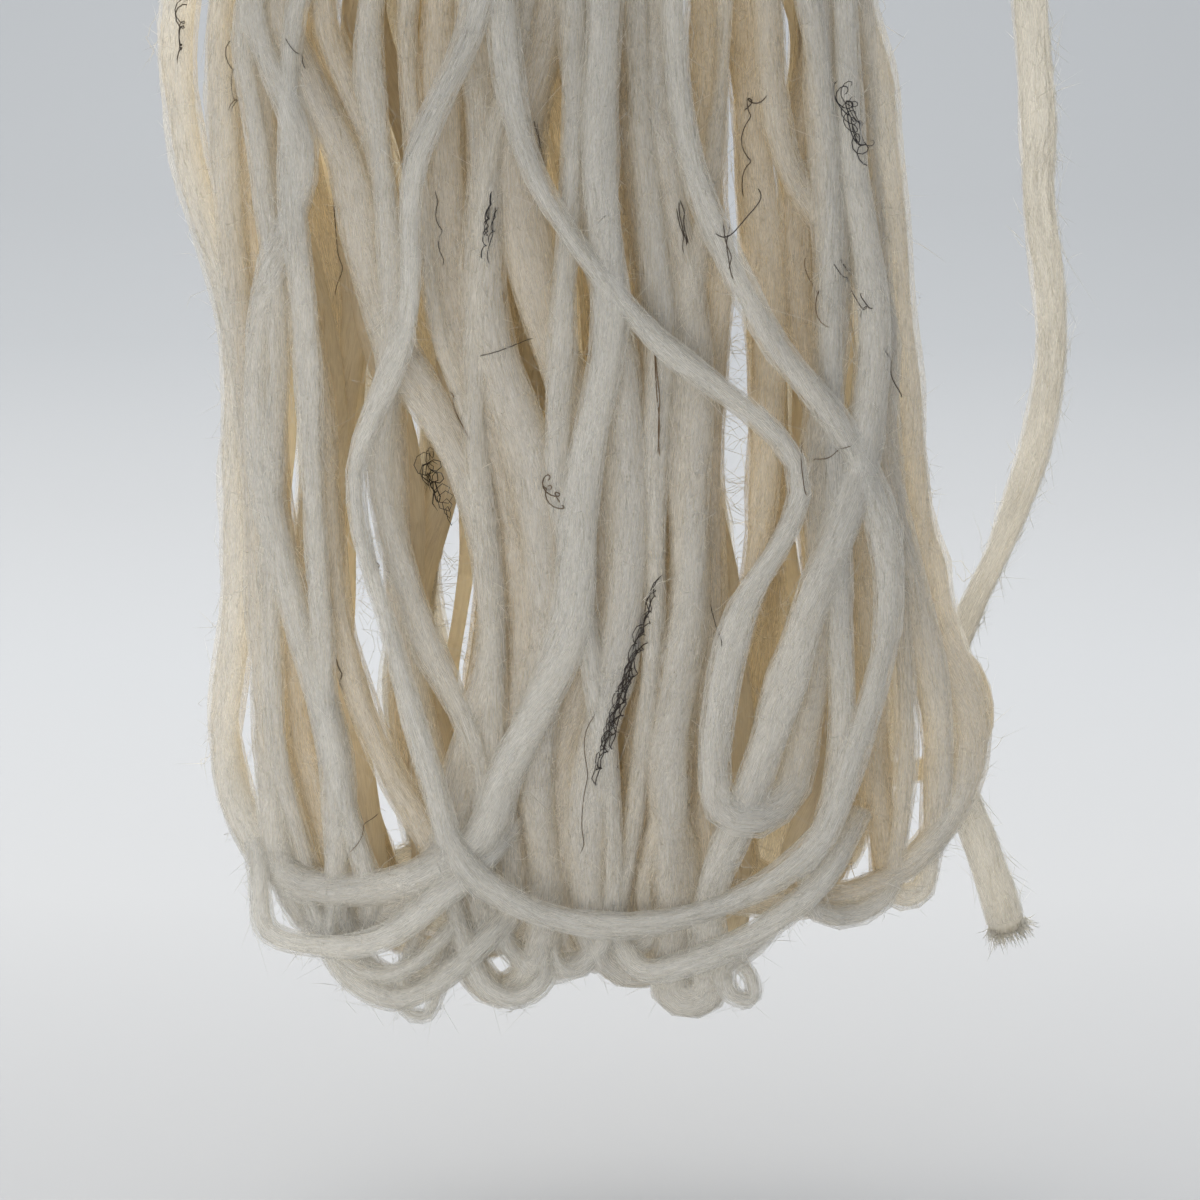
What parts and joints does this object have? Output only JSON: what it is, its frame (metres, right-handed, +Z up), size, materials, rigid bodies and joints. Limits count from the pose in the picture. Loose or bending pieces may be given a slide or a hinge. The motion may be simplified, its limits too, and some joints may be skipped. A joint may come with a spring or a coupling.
{
  "type": "hanging yarn hank",
  "caption": "Loose hanging hank of fluffy thick-and-thin single-ply yarn, turns passing over an open eye at the top, with a loose side strand that ends in a cut.",
  "frame": {"origin": "middle of the crown's length, level with the underside of the arch that a peg would carry", "axes": "+Z up; the front that the picture shows faces -Y; +X to the viewer's right, along the eye"},
  "size_m": [0.1032, 0.0464, 0.1708],
  "materials": {
    "yarn": "undyed cream wool, matt, fluffy, light passes through it warm"
  },
  "bodies": {
    "root": {"hank": "yarn", "loose_strand": "yarn"}
  },
  "joints": []
}
